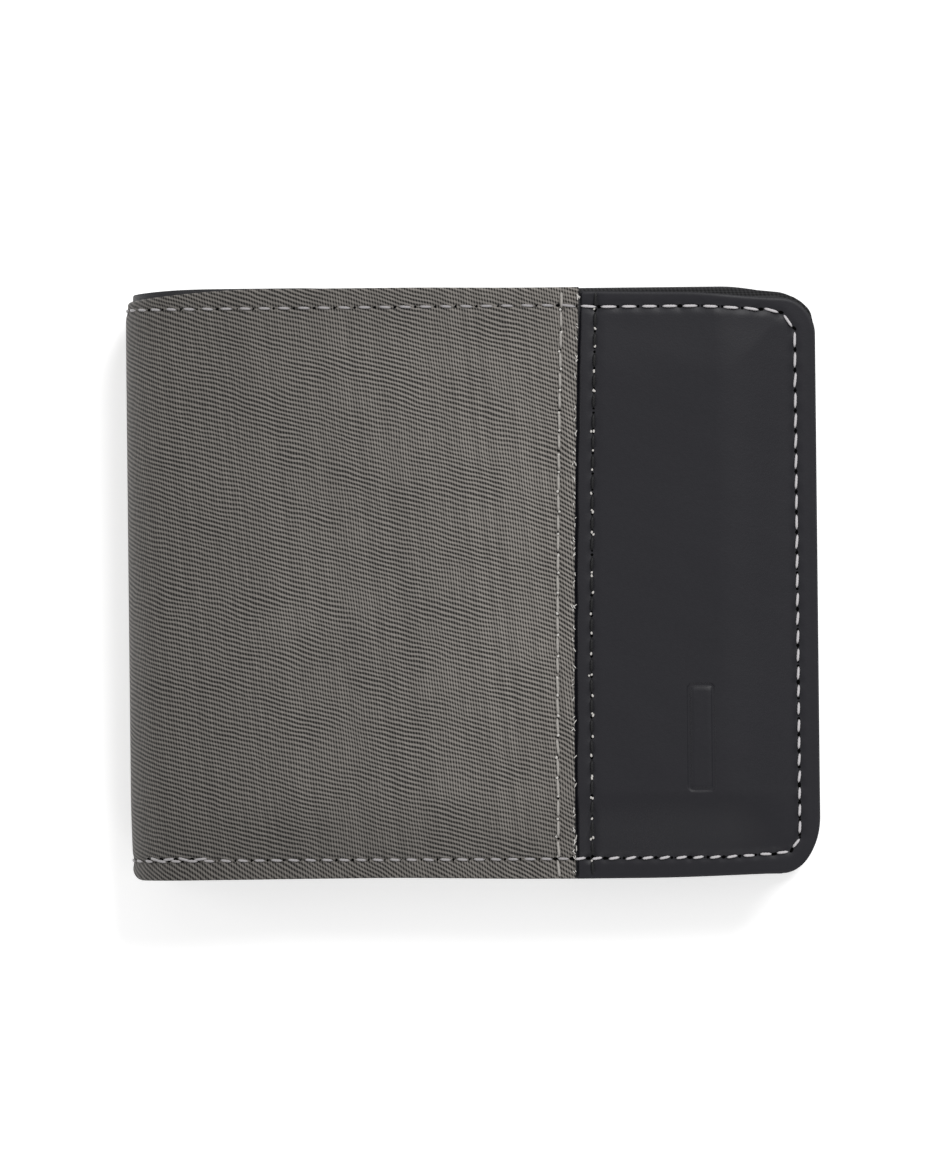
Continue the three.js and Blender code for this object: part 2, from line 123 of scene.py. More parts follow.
# The edge stitches are shorter by the spine, down the free edge and along the bottom.
EDGE_PITCH = ((0, SHORT_PITCH), (0.12, STITCH_PITCH), (0.45, STITCH_PITCH), (0.58, SHORT_PITCH),
              (1, SHORT_PITCH))
EDGE_THREAD, SEAM_THREAD, LEATHER_THREAD = 0.42, 0.43, 0.48  # thicknesses
MARK_CENTRE, MARK_HALF = (83.1, -25.0), (2.2, 8.6)  # of the pressed mark: across the cover and up

CAMERA_HEIGHT, CAMERA_X, CAMERA_Y = 1.6, 0.0002, 0.0013
CAMERA_TURN = math.radians(-0.62)
SEEN_WIDTH = 0.1527
LIGHT_SIZE = 1.2
FLOOR_Z = -0.0003  # just under the rear cover's stitches


# ---- Camera and light ----
def add_camera():
    data = bpy.data.cameras.new("camera")
    camera = bpy.data.objects.new("camera", data)
    bpy.context.collection.objects.link(camera)
    bpy.context.scene.camera = camera
    data.sensor_fit = "HORIZONTAL"
    data.lens = data.sensor_width * (CAMERA_HEIGHT - THICKNESS / 2 * MM) / SEEN_WIDTH
    data.clip_start, data.clip_end = 0.01, 20
    camera.location = (CAMERA_X, CAMERA_Y, CAMERA_HEIGHT)
    camera.rotation_euler = (0, 0, CAMERA_TURN)


def add_light(name, place, power):
    data = bpy.data.lights.new(name, "AREA")
    data.shape = "DISK"
    data.size = LIGHT_SIZE
    data.energy = power
    light = bpy.data.objects.new(name, data)
    bpy.context.collection.objects.link(light)
    light.location = place
    direction = np.array([0, 0, 0.01]) - place
    tilt = math.acos(-direction[2] / np.linalg.norm(direction))
    turn = math.atan2(-direction[0], direction[1])
    light.rotation_euler = (tilt, 0, turn)


def add_studio():
    scene = bpy.context.scene
    scene.view_settings.view_transform = "Standard"
    world = bpy.data.worlds.new("studio")
    scene.world = world
    world.use_nodes = True
    background = world.node_tree.nodes["Background"]
    background.inputs["Color"].default_value = (1, 1, 1, 1)
    background.inputs["Strength"].default_value = 0.4
    add_light("key", (0.9, 1.6, 2.0), 46)
    add_light("fill_left", (-1.9, 0.3, 1.7), 9)
    add_light("fill_front", (0.4, -1.9, 1.7), 9)
    bpy.ops.mesh.primitive_plane_add(size=6, location=(0, 0, FLOOR_Z))
    floor = bpy.context.object
    floor.name = "floor"
    floor.data.materials.append(floor_material())


def floor_material():
    material = bpy.data.materials.new("floor")
    material.use_nodes = True
    shader = material.node_tree.nodes["Principled BSDF"]
    for key, value in (("Base Color", (0.9, 0.9, 0.9, 1)), ("Roughness", 0.9),
                       ("Specular IOR Level", 0.1), ("Emission Color", (1, 1, 1, 1)),
                       ("Emission Strength", 0.48)):
        shader.inputs[key].default_value = value
    return material


# ---- Shell coordinates ----
def smooth(t):
    k = np.clip(t, 0, 1)
    return k * k * (3 - 2 * k)


def shell(s, y, depth):
    """Places in the wallet, in metres, of shell coordinates in millimetres."""
    s, y, depth = np.broadcast_arrays(np.asarray(s, float), y, depth)
    side = np.where(s < 0, -1.0, 1.0)
    along = np.abs(s)
    angle = fold_angle(s)
    radius = FOLD_RADIUS - depth
    rise = np.minimum(along, BACK_FLAT / 2)
    x = ARC_X - radius * np.cos(angle) + np.maximum(along - ARC_END, 0)
    z = THICKNESS / 2 + side * (rise + radius * np.sin(angle))
    return np.stack([x, y, z], axis=-1) * MM


def fold_angle(s):
    return np.clip((np.abs(s) - BACK_FLAT / 2) / FOLD_RADIUS, 0, math.pi / 2)


def across(s):
    return np.abs(s) - ARC_END


def end_of(s):
    return np.where(np.asarray(s) < 0, REAR_END, FRONT_END)


def pinch(s, y):
    """How far a cover is drawn in, where it is sewn to the bill wall."""
    at_side = smooth((across(s) - (end_of(s) - PINCH_SIDE)) / PINCH_SIDE)
    at_bottom = smooth((-y - (HALF_HEIGHT - PINCH_BOTTOM)) / PINCH_BOTTOM)
    share = PINCH_AT_SPINE + (1 - PINCH_AT_SPINE) * smooth(across(s) / PINCH_GROWS_OVER)
    return PINCH * (1 - (1 - at_side) * (1 - at_bottom * share))


def wall_depth(s):
    return WALL_FOLD_DEPTH + (WALL_DEPTH - WALL_FOLD_DEPTH) * smooth(across(s) / WALL_SLOPE)


def waves(s, y, length, seed):
    """Smooth seeded noise of about that wavelength, mostly from -1 to 1."""
    random = np.random.default_rng(seed)
    total = 0
    for _ in range(7):
        turn, shift = random.uniform(0, 2 * math.pi, 2)
        k = 2 * math.pi / (length * random.uniform(0.7, 1.6))
        total = total + np.sin(k * (s * math.cos(turn) + y * math.sin(turn)) + shift)
    return total / 4


def bow(y):
    """The seams down the cover lean a little and curve out towards the top."""
    up = y / HALF_HEIGHT
    return 0.74 * up + 0.42 * up * up - 0.2


def wall_shell(s, y, depth):
    """As shell, for a layer that lies flat over the fold when the wallet is open.

    A point's rest place is its open place turned back by its share of the fold, and that share
    goes by how far along the blend's own direction the rest place is, so it is found by halving.
    """
    s, y, depth = np.broadcast_arrays(np.asarray(s, float), y, depth)
    out = np.abs(s) - FOLD_LINE
    up = depth - HINGE_DEPTH
    start, end = wall_blend()
    span = end - start
    low, high = np.zeros(s.shape), np.ones(s.shape)
    for _ in range(30):
        share = (low + high) / 2
        turn = share * math.pi / 2
        x = out * np.cos(turn) + up * np.sin(turn)
        z = up * np.cos(turn) - out * np.sin(turn)
        reached = smooth(((x - start[0]) * span[0] + (z - start[1]) * span[1]) / (span @ span))
        low = np.where(reached > share, share, low)
        high = np.where(reached > share, high, share)
    return from_hinge(np.where(s < 0, -1.0, 1.0), x, y, z)


def from_hinge(side, x, y, up):
    """Places in the wallet, in metres, of places inwards from a cover's hinge, in millimetres."""
    z = THICKNESS / 2 + side * (THICKNESS / 2 - HINGE_DEPTH - up)
    return np.stack(np.broadcast_arrays(SPINE_X + HINGE_DEPTH + x, y, z), axis=-1) * MM


def wall_blend():
    """Start and end of the fold's blend for the wall, inwards from the hinge as (x, up)."""
    far, near = 6.7, WALL_FOLD_DEPTH - HINGE_DEPTH
    return np.array([far, near]), np.array([near, far])


# ---- Stitch lines ----
def edge_path(side, end):
    """The edge stitching: from the middle of the spine along the top, round, and back below."""
    right = ARC_END + end - EDGE_THREAD_INSET

    def quarter(radius):
        turn = right - radius
        angles = np.linspace(0, math.pi / 2, 13)
        corner = np.stack([turn + radius * np.sin(angles),
                           EDGE_THREAD_Y - radius * (1 - np.cos(angles))], 1)
        run = np.stack([np.linspace(0, turn, 40)[:-1], np.full(39, EDGE_THREAD_Y)], 1)
        return np.concatenate([run, corner])

    top = quarter(THREAD_CORNER_TOP)
    bottom = quarter(THREAD_CORNER_BOTTOM)[::-1] * [1, -1]
    x = top[:, 0] - ARC_END
    top[:, 1] -= 0.3 * smooth((x - FABRIC_EDGE + 4) / 10) + 0.7 * smooth((x - end + 20) / 14)
    x = bottom[:, 0] - ARC_END
    bottom[:, 1] += 0.3 * (1 - smooth(x / 60)) + 0.75 * smooth((x - end + 16) / 14)
    return np.concatenate([top, bottom]) * [side, 1]


def seam_path(side, from_edge, high=45.2, low=-45.8):
    y = np.linspace(high, low, 40)
    return np.stack([side * (FABRIC_END + from_edge + bow(y)), y], 1)


def resample(path, pitch, start=0.0):
    """A row of stitches along a path: their middles, directions and pitches."""
    steps = np.linalg.norm(np.diff(path, axis=0), axis=1)
    along = np.concatenate([[0], np.cumsum(steps)])
    shares, pitches = np.array(pitch).T
    at = [start * pitches[0]]
    while at[-1] < along[-1]:
        at.append(at[-1] + np.interp(at[-1] / along[-1], shares, pitches))
    at = np.array(at[:-1])
    point = lambda d: np.stack([np.interp(d, along, path[:, k]) for k in (0, 1)], 1)
    ahead = point(np.minimum(at + 0.2, along[-1])) - point(np.maximum(at - 0.2, 0))
    directions = ahead / np.linalg.norm(ahead, axis=1)[:, None]
    return point(at), directions, np.interp(at / along[-1], shares, pitches)


def near_path(s, y, path, reach=2.2):
    """How far each point is from a path of straight stretches, up to reach."""
    best = np.full(np.shape(s), reach, float)
    for a, b in zip(path[:-1], path[1:]):
        d = b - a
        t = np.clip(((s - a[0]) * d[0] + (y - a[1]) * d[1]) / max(d @ d, TINY), 0, 1)
        best = np.minimum(best, np.hypot(s - a[0] - t * d[0], y - a[1] - t * d[1]))
    return best


def holes_near(s, y, points, sigma):
    """The sum of small round dimples at the needle holes."""
    total = np.zeros(np.shape(s))
    for point in points:
        near = (np.abs(s - point[0]) < 3 * sigma) & (np.abs(y - point[1]) < 3 * sigma)
        if near.any():
            gap = (s[near] - point[0]) ** 2 + (y[near] - point[1]) ** 2
            total[near] += np.exp(-gap / (2 * sigma * sigma))
    return total


def sewn_in(s, y, paths, groove, dimple):
    """How much the stitches pull a skin down along their lines and at their holes."""
    total = np.zeros(np.shape(s))
    for path, pitch in paths:
        total += groove * np.exp(-(near_path(s, y, path) / 0.75) ** 2)
        total += dimple * holes_near(s, y, resample(path, pitch, 0.5)[0], 0.5)
    return total


def cover_paths(side, end):
    return {
        "edge": (edge_path(side, end), EDGE_PITCH),
        "seam": (seam_path(side, -SEAM_FROM_EDGE), EVEN_PITCH),
        "leather": (seam_path(side, LEATHER_SEAM_FROM_EDGE), EVEN_PITCH),
    }


# ---- Meshes ----
# Grid marks come in stretches of (from, to, step).
CAP_MARKS = (0, 0.06, 0.06)  # keeps the shading of a cap's edge out of sight, at the spine's middle
EDGE_THREAD_MARKS = ((-45.6, -42.8, 0.24), (42.8, 45.6, 0.24))
CLOTH_STEP = 0.65
FAR_AWAY = 99  # where a piece has no near edge of its own
FABRIC_RIM, LEATHER_RIM = 0.55, 0.6


def marks(*stretches):
    """The sorted marks of all stretches, without near doubles."""
    values = np.sort(np.concatenate([
        np.linspace(start, stop, max(2, math.ceil(abs(stop - start) / step) + 1))
        for start, stop, step in stretches]))
    keep = np.concatenate([[True], np.diff(values) > 0.045])
    keep[-1] = True
    return values[keep]


def grid(s_marks, y_marks, low, high):
    """A grid of (s, y), its rows bent to follow limits low(s) and high(s)."""
    s, y = np.meshgrid(s_marks, y_marks, indexing="ij")
    reach = 13.0
    y = y + (low(s) - y_marks[0]) * np.clip(1 - (y - y_marks[0]) / reach, 0, 1)
    y = y + (high(s) - y_marks[-1]) * np.clip(1 - (y_marks[-1] - y) / reach, 0, 1)
    return s, y


def inside_outline(s, y, box, radii, narrow=1.0):
    """Distance inside a rectangle (s from, s to, y from, y to) with round far corners.

    radii are those at the bottom and the top; narrow is the bottom corner's width by its height.
    """
    s_from, s_to, y_from, y_to = box
    above = y > (y_from + y_to) / 2
    radius = np.where(above, radii[1], radii[0])
    width = np.where(above, radii[1], radii[0] * narrow)
    right, up = s_to - s, np.where(above, y_to - y, y - y_from)
    corner = width * (1 - np.hypot(np.maximum(1 - right / width, 0), np.maximum(1 - up / radius, 0)))
    in_corner = (right < width) & (up < radius)
    distance = np.where(in_corner, corner, np.minimum(right, up))
    return np.maximum(np.minimum(distance, s - s_from), 0)


def rounded_faces(outer, inner, distance, radius, meet=0.5):
    """Bends the places of both faces together in a round rim, at the share meet of the way through."""
    k = np.sqrt(1 - (1 - np.clip(distance / radius, 0, 1)) ** 2)[..., None]
    middle = outer + (inner - outer) * meet
    return middle - (middle - outer) * k, middle + (inner - middle) * k


def mesh_object(name, points, faces, uv, material):
    mesh = bpy.data.meshes.new(name)
    mesh.from_pydata(points.reshape(-1, 3).tolist(), [], faces)
    cloth = mesh.uv_layers.new(name="cloth")
    vertex = np.zeros(len(mesh.loops), np.int32)
    mesh.loops.foreach_get("vertex_index", vertex)
    cloth.data.foreach_set("uv", uv.reshape(-1, 2)[vertex].astype(np.float32).ravel())
    mesh.polygons.foreach_set("use_smooth", np.ones(len(mesh.polygons), bool))
    mesh.materials.append(material)
    mesh.update()
    obj = bpy.data.objects.new(name, mesh)
    bpy.context.collection.objects.link(obj)
    return obj


def quads(columns, rows, offset, side):
    i, j = np.meshgrid(np.arange(columns - 1), np.arange(rows - 1), indexing="ij")
    a = offset + i * rows + j
    ring = [a, a + rows, a + rows + 1, a + 1]
    return np.stack([corner.ravel() for corner in ring[::side]], 1)


def border(columns, rows, open_start):
    """The grid's edge, in order, without the open column if there is one."""
    bottom = [i * rows for i in range(columns)]
    right = [(columns - 1) * rows + j for j in range(1, rows)]
    top = [i * rows + rows - 1 for i in range(columns - 2, -1, -1)]
    left = [j for j in range(rows - 2, -1, -1)]
    return bottom + right + top + ([] if open_start else left)


def layer(half, name, s, y, depths, rounding, material, open_start=False, places=(shell, shell)):
    """A cloth or leather piece with both its faces. s runs outwards from the spine.

    depths are those of the outer and inner face; rounding is as rounded_faces takes it.
    A piece that runs on to the spine's middle ends there in a flat cap, against its other half.
    """
    side = half.side
    columns, rows = s.shape
    count = columns * rows
    outer, inner = (place(side * s, y, depth) for place, depth in zip(places, depths))
    points = np.stack(rounded_faces(outer, inner, *rounding))
    band = lambda a: np.stack([a[:-1], a[:-1] + count, a[1:] + count, a[1:]], 1)[:, ::side]
    rim = band(np.array(border(columns, rows, open_start)))
    cap = band(np.arange(rows if open_start else 1)[::-1])
    skins = [quads(columns, rows, 0, side), quads(columns, rows, count, -side)]
    faces = np.concatenate([*skins, rim, cap])
    uv = np.stack([np.stack([side * s, y], -1)] * 2)
    piece = mesh_object(f"{half.name}_{name}", points, faces.tolist(), uv, material)
    is_smooth = np.arange(len(faces)) < len(faces) - len(cap)
    piece.data.polygons.foreach_set("use_smooth", is_smooth)
    return piece


def hole_shade_ovals(row, skin, size, facing):
    """Small dark ovals of painted shade where the thread goes in, between one stitch and the next."""
    rings, around = 3, 10
    centres, directions, pitches = row
    theta = np.linspace(0, 2 * math.pi, around, endpoint=False)
    reach = np.linspace(1, 0.25, rings)[:, None]
    at = centres + directions * pitches[:, None] / 2
    clear = np.abs(at[:, 1]) < HALF_HEIGHT - 1.4
    at, directions = at[clear], directions[clear]
    beside = np.stack([-directions[:, 1], directions[:, 0]], 1)
    out = reach * np.cos(theta) * size[0]
    wide = reach * np.sin(theta) * size[1]
    s, y = (
        at[:, k, None, None] + directions[:, k, None, None] * out + beside[:, k, None, None] * wide
        for k in (0, 1))
    depth = skin(s, y) + facing * np.array([0.03, -0.02, -0.03])[:, None]
    points = shell(s, y, depth)
    faces = []
    for first in range(0, len(at) * rings * around, rings * around):
        last = first + (rings - 1) * around
        for a in range(first, last, around):
            b = a + around
            faces += [[a + j, a + (j + 1) % around, b + (j + 1) % around, b + j] for j in range(around)]
        faces.append(list(range(last, last + around)))
    return points.reshape(-1, 3), faces


def stitches(half, name, row, skin, materials, lengths, thick, tilt=0.0, lift=0.08, plies=3,
             hole_size=(0.46, 0.32), facing=1):
    """A row of stitches: twisted threads that come up out of one hole and go down the next.

    row is as resample gives it, materials are the thread's and, for a row that shows its needle
    holes, that of the painted shade in them. facing is 1 on an outer face and -1 on an inner one.
    """
    around, steps = 10, 13
    centres, directions, _ = row
    t = np.linspace(-1, 1, steps)[None, :, None]
    theta = np.linspace(0, 2 * math.pi, around, endpoint=False)
    angle = np.arctan2(directions[:, 1], directions[:, 0])
    random = np.random.default_rng(len(centres))
    lean = angle + np.radians(tilt) + random.normal(0, math.radians(1.4), len(centres))
    along = np.stack([np.cos(lean), np.sin(lean)], 1)
    reach = (lengths / 2 * (1 + random.normal(0, 0.025, len(centres))))[:, None]
    lift = np.broadcast_to(lift, len(centres))[:, None]
    s, y = (centres[:, k, None] + along[:, k, None] * reach * t[0, :, 0] for k in (0, 1))
    from_middle = np.abs(t[0, :, 0])
    rise = (lift + thick * 0.22) * (1 - from_middle ** 3.2) - thick * 0.45 * from_middle ** 6
    depth = skin(centres[:, 0], centres[:, 1])[:, None] - facing * rise
    middle = shell(s, y, depth)
    up = shell(s, y, depth - facing * 0.01) - middle
    up /= np.linalg.norm(up, axis=-1, keepdims=True)
    ahead = np.gradient(middle, axis=1)
    ahead /= np.linalg.norm(ahead, axis=-1, keepdims=True)
    beside = np.cross(ahead, up)
    up = np.cross(beside, ahead)
    twist = plies * theta - 2 * math.pi * plies * reach[:, :, None] * t / (thick * 3.4)
    taper = np.sqrt(np.clip(1 - np.abs(t) ** 5, 0.03, 1))
    radius = (thick / 2) * taper * (1 + 0.13 * np.cos(twist)) * MM
    ring = np.cos(theta)[..., None] * beside[:, :, None, :]
    ring = ring + np.sin(theta)[..., None] * up[:, :, None, :]
    points = middle[:, :, None, :] + radius[..., None] * ring
    uv = np.stack(np.broadcast_arrays(reach[:, :, None] * t, theta * thick / 2), -1)
    base = np.arange(len(centres))[:, None, None] * steps * around
    i = np.arange(steps - 1)[:, None] * around
    j = np.arange(around)
    k = (j + 1) % around
    corners = (base + i + j, base + i + around + j, base + i + around + k, base + i + k)
    faces = np.stack([corner.ravel() for corner in corners], 1).tolist()
    for first in range(0, len(centres) * steps * around, steps * around):
        last = first + (steps - 1) * around
        faces.append(list(range(first, first + around)))
        faces.append(list(range(last, last + around))[::-1])
    points, uv = points.reshape(-1, 3), uv.reshape(-1, 2)
    threads = len(faces)
    if len(materials) > 1:
        # dark ovals of painted shade at the needle holes
        holes, hole_faces = hole_shade_ovals(row, skin, hole_size, facing)
        faces += [[len(points) + v for v in face[::half.side * facing]] for face in hole_faces]
        points = np.concatenate([points, holes])
        uv = np.concatenate([uv, holes[:, :2] / MM])
    piece = mesh_object(f"{half.name}_{name}", points, faces, uv, materials[0])
    for material in materials[1:]:
        piece.data.materials.append(material)
    is_hole = np.arange(len(faces)) >= threads
    piece.data.polygons.foreach_set("material_index", is_hole.astype(np.int32))
    return piece


# ---- Materials ----
class Nodes:
    """A material's shader tree, with short names for what is used most."""

    def __init__(self, name, **settings):
        self.material = bpy.data.materials.new(name)
        self.material.use_nodes = True
        self.tree = self.material.node_tree
        self.shader = self.tree.nodes["Principled BSDF"]
        for key, value in settings.items():
            self.shader.inputs[key.replace("_", " ")].default_value = value
        uv = self.add("ShaderNodeUVMap", uv_map="cloth")
        split = self.add("ShaderNodeSeparateXYZ")
        self.link(uv.outputs["UV"], split.inputs[0])
        self.uv, self.u, self.v = uv.outputs["UV"], split.outputs["X"], split.outputs["Y"]

    def add(self, kind, **settings):
        node = self.tree.nodes.new(kind)
        for key, value in settings.items():
            setattr(node, key, value)
        return node

    def link(self, source, target):
        if isinstance(source, (int, float, tuple)):
            target.default_value = source
        else:
            self.tree.links.new(source, target)

    def math(self, operation, *values):
        node = self.add("ShaderNodeMath", operation=operation)
        for socket, value in zip(node.inputs, values):
            self.link(value, socket)
        return node.outputs[0]

    def times(self, a, b):
        return self.math("MULTIPLY", a, b)

    def times_plus(self, a, b, c):
        return self.math("MULTIPLY_ADD", a, b, c)

    def scaled(self, u_scale, v_scale, u_skew=0.0):
        """The cloth's coordinates, scaled: (u * u_scale, v * v_scale + u * u_skew, 0)."""
        node = self.add("ShaderNodeCombineXYZ")
        self.link(self.times(self.u, u_scale), node.inputs[0])
        sheared = self.times_plus(self.u, u_skew, self.times(self.v, v_scale))
        self.link(sheared, node.inputs[1])
        return node.outputs[0]

    def texture(self, kind, output, **inputs):
        node = self.add(kind)
        for key, value in inputs.items():
            self.link(value, node.inputs[key])
        return node.outputs[output]

    def noise(self, vector, scale, detail=2.0, roughness=0.5):
        return self.texture("ShaderNodeTexNoise", "Fac", Vector=vector, Scale=scale, Detail=detail,
                            Roughness=roughness)

    def voronoi(self, vector, scale):
        return self.texture("ShaderNodeTexVoronoi", "Distance", Vector=vector, Scale=scale)

    def wave(self, phase):
        """0 to 1 and back once a unit of phase."""
        sine = self.math("SINE", self.times(phase, 2 * math.pi))
        return self.times_plus(sine, 0.5, 0.5)

    def mix(self, share, low, high):
        return self.remap(share, 0.0, 1.0, low, high)

    def remap(self, value, low, high, to_low=0.0, to_high=1.0):
        node = self.add("ShaderNodeMapRange")
        for socket, item in zip(node.inputs, (value, low, high, to_low, to_high)):
            self.link(item, socket)
        return node.outputs[0]

    def ramp(self, value, *stops):
        node = self.add("ShaderNodeValToRGB")
        elements = node.color_ramp.elements
        while len(elements) < len(stops):
            elements.new(0.5)
        for element, (place, colour) in zip(elements, stops):
            element.position = place
            element.color = (*colour, 1)
        self.link(value, node.inputs[0])
        return node.outputs[0]

    def shade(self, colour, amount):
        """A colour multiplied by a grey amount."""
        node = self.add("ShaderNodeVectorMath", operation="SCALE")
        self.link(colour, node.inputs[0])
        self.link(amount, node.inputs["Scale"])
        return node.outputs[0]

    def finish(self, colour, height=None, distance=0.00003, roughness=None):
        self.link(colour, self.shader.inputs["Base Color"])
        if roughness is not None:
            self.link(roughness, self.shader.inputs["Roughness"])
        if height is not None:
            bump = self.add("ShaderNodeBump")
            bump.inputs["Distance"].default_value = distance
            self.link(height, bump.inputs["Height"])
            self.link(bump.outputs[0], self.shader.inputs["Normal"])
        return self.material


def twill_material():
    """Steep light yarns crossed by rows that fall to the right, with a pit in each opening, painted
    dark as shade.

    The rows fall faster where the cloth is drawn over its turned margins.
    """
    warp_pitch, row_pitch, margin_pitch = 0.416, 0.70, 0.66
    warp_lean, row_fall, margin_fall, mouth_fall = map(math.radians, (5.2, 16.4, 31, 19))
    n = Nodes("twill", Roughness=0.85, Specular_IOR_Level=0.22, Sheen_Weight=0.2, Sheen_Roughness=0.5)
    wobble = n.times_plus(n.noise(n.uv, 0.11, 3.0), 2.0, -1.0)
    along = lambda angle, pitch: n.times_plus(
        n.u, math.sin(angle) / pitch, n.times(n.v, math.cos(angle) / pitch))
    warp = n.math("ADD", n.times(wobble, 0.6), along(math.pi / 2 - warp_lean, warp_pitch))
    up, out = n.math("ABSOLUTE", n.v), n.math("ABSOLUTE", n.u)
    lean = n.times_plus(n.v, 0.74 / HALF_HEIGHT, FABRIC_END - SEAM_FROM_EDGE)
    mouth = n.math("GREATER_THAN", n.v, EDGE_THREAD_Y)
    in_margin = n.math("MAXIMUM", n.math("GREATER_THAN", up, EDGE_THREAD_Y),
                       n.math("GREATER_THAN", out, lean))
    margin_rows = n.mix(mouth, along(margin_fall, margin_pitch), along(mouth_fall, margin_pitch))
    rows = n.math("ADD", wobble, n.mix(in_margin, along(row_fall, row_pitch), margin_rows))
    between_yarns = n.remap(n.wave(warp), 0.30, 0.92)
    between_rows = n.remap(n.wave(rows), 0.22, 0.85)
    pit = n.times(between_yarns, between_rows)
    # From cloth that shows its yarns, at 0, to cloth that shows its rows, at 1.
    balance = n.remap(n.noise(n.scaled(0.11, 0.16), 1.0, 2.0), 0.36, 0.64)
    balance = n.math("MAXIMUM", balance, n.remap(out, 20.0, 44.0, 0.6, 0.0))
    row_dent, yarn_dent = n.mix(balance, 0.18, 0.46), n.mix(balance, 0.26, 0.12)
    dent = n.times_plus(between_rows, row_dent, n.times(between_yarns, yarn_dent))
    height = n.math("SUBTRACT", 1.0, n.times_plus(pit, 0.5, dent))
    yarn_tone = n.add("ShaderNodeTexWhiteNoise", noise_dimensions="1D")
    n.link(n.math("FLOOR", n.math("ADD", warp, 0.5)), yarn_tone.inputs["W"])
    streaks = n.noise(n.scaled(2.4, 0.22), 1.0, 2.0)
    flecks = n.noise(n.scaled(2.1, 1.2), 1.0, 3.0, 0.7)
    patches = n.noise(n.uv, 0.045, 3.0)
    # painted shade: darker towards the spine's fold, where the cloth curves away from the light, darker
    # towards the bottom, and darker over the top and bottom margins
    painted_shade = n.times(n.remap(out, 4.0, 70.0, 0.68, 1.03), n.remap(n.v, -50.0, 0.0, 0.87, 1.0))
    painted_shade = n.times(painted_shade, n.remap(up, 36.0, 44.0, 1.0, 0.9))
    tone = n.times_plus(yarn_tone.outputs["Value"], 0.13, 0.36)
    tone = n.times_plus(streaks, 0.24, tone)
    tone = n.times_plus(flecks, 0.36, tone)
    tone = n.times(n.times_plus(patches, 0.22, tone), painted_shade)
    # painted shade: the colour follows the weave's height, darker in the dips between yarns and rows
    # and near black in the pits
    colour = n.ramp(height, (0.0, (0.007, 0.007, 0.0065)), (0.35, (0.028, 0.026, 0.0243)),
                    (0.75, (0.168, 0.1555, 0.142)), (1.0, (0.325, 0.303, 0.279)))
    return n.finish(n.shade(colour, tone), height, 0.00008)


def leather_material(name, tone=1.0, grain=1.0):
    """Smooth satin leather with a very fine even grain."""
    n = Nodes(name, Specular_IOR_Level=0.3, Coat_Weight=0.03, Coat_Roughness=0.35)
    pores = n.voronoi(n.uv, 3.1)
    creases = n.noise(n.uv, 1.1, 4.0, 0.6)
    fine = n.noise(n.uv, 9.0, 2.0)
    clouds = n.noise(n.uv, 0.05, 2.0)
    height = n.times_plus(creases, 0.5, n.times(fine, 0.2))
    height = n.times_plus(pores, 0.35, height)
    # partly painted shade: the tone is darker where the grain's creases sink; the cloudy tone is the
    # leather's own
    shade = n.times_plus(creases, 0.16, n.times_plus(clouds, 0.12, 0.86))
    roughness = n.times_plus(creases, 0.12, 0.44)
    colour = n.shade((0.0115 * tone, 0.0112 * tone, 0.0150 * tone), shade)
    return n.finish(colour, height, 0.000022 * grain, roughness)


def lining_material():
    """Thin plain-woven cloth."""
    n = Nodes("lining", Roughness=0.6, Specular_IOR_Level=0.3, Sheen_Weight=0.2)
    warp, weft = n.wave(n.times(n.u, 3.6)), n.wave(n.times(n.v, 3.6))
    height = n.math("MAXIMUM", warp, weft)
    slubs = n.noise(n.scaled(0.3, 3.0), 1.0, 3.0)
    # painted shade: darker where the weave is low, between the yarns; the slubs are the cloth's own
    # tone
    shade = n.times_plus(slubs, 0.5, n.times_plus(height, 0.5, 0.35))
    return n.finish(n.shade((0.016, 0.016, 0.0185), shade), height, 0.00003)


def tape_material():
    """Ribbed binding tape with dark flecks, darker between the ribs as painted shade."""
    n = Nodes("tape", Roughness=0.7, Specular_IOR_Level=0.3, Sheen_Weight=0.15)
    rib = n.wave(n.times_plus(n.u, 1 / 0.62, n.times(n.v, 0.55)))
    cross = n.wave(n.times(n.v, 2.6))
    height = n.times_plus(cross, 0.35, n.times(rib, 0.65))
    flecks = n.noise(n.scaled(1.4, 2.6), 1.0, 2.0, 0.7)
    # painted shade: darker where the ribs sink, between them; the flecks are the tape's own tone
    shade = n.times_plus(height, 0.9, n.times_plus(flecks, 0.6, 0.1))
    return n.finish(n.shade((0.024, 0.024, 0.026), shade), height, 0.00006)


def thread_material(name, colour, sheen=0.3):
    """Fibres lie along the thread; the plies are modelled."""
    n = Nodes(name, Roughness=0.55, Specular_IOR_Level=0.35, Sheen_Weight=sheen)
    fibres = n.noise(n.scaled(1.6, 22.0, 9.0), 1.0, 3.0, 0.6)
    shade = n.times_plus(fibres, 0.55, 0.7)
    return n.finish(n.shade(colour, shade), fibres, 0.00002)


def hole_shade_material():
    """The painted shade inside a needle hole."""
    n = Nodes("needle_hole_shade", Roughness=1.0, Specular_IOR_Level=0.0)
    shade = n.times_plus(n.noise(n.uv, 2.0), 0.6, 0.7)
    return n.finish(n.shade((0.0025, 0.0025, 0.0025), shade))


